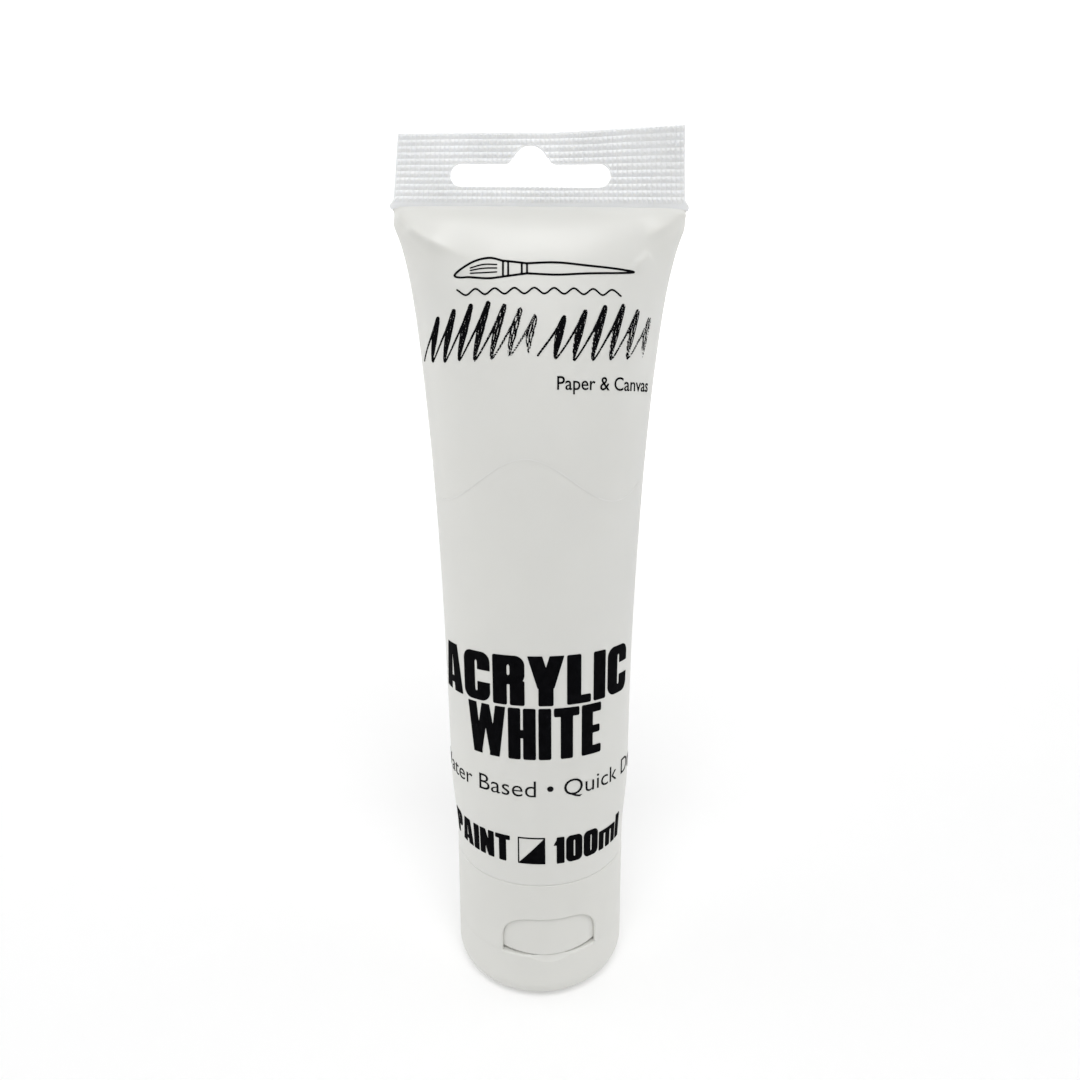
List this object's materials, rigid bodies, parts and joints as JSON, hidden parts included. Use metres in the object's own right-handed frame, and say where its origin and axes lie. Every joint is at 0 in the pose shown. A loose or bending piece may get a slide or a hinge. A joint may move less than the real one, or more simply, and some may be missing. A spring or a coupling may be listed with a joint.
{
  "type": "paint tube",
  "caption": "Soft white plastic paint tube standing on its flip-top screw closure, with a flattened embossed fin at the top and a hanging slot through it.",
  "frame": {"origin": "centre of the lid's flat outer face, which the tube stands on", "axes": "+Z along the tube to the welded fin, +X along the fin's width, -Y out of the printed front"},
  "size_m": [0.0596, 0.038, 0.1792],
  "materials": {
    "sleeve": "satin",
    "shoulder": "matte",
    "paint": "gloss",
    "foil": "satin",
    "closure": "satin"
  },
  "bodies": {
    "closure": {"closure_base": "closure", "living_hinge": "closure"},
    "lid": {"lid": "closure"},
    "foil": {"foil_seal": "foil"},
    "tube": {"tube_sleeve": "sleeve", "shoulder_neck": "shoulder", "paint": "paint"}
  },
  "joints": [
    {"name": "lid_hinge", "type": "hinge", "parent": "closure", "child": "lid", "pos_m": [-0.00182, 0.01818, 0.0108], "axis": [0.9951, 0.0993, 0], "range_deg": [0, 135], "deforming": ["living_hinge"]},
    {"name": "thread_rise", "type": "slide", "parent": "closure", "child": "foil", "axis": [0, 0, 1], "range_m": [0, 0.00625]},
    {"name": "thread_turn", "type": "hinge", "parent": "foil", "child": "tube", "pos_m": [0, 0, 0.0122], "axis": [0, 0, 1], "range_deg": [0, 900.7]}
  ],
  "couplings": [
    {"joint": "thread_turn", "follows": "thread_rise", "rad_per_m": 2513.3}
  ]
}
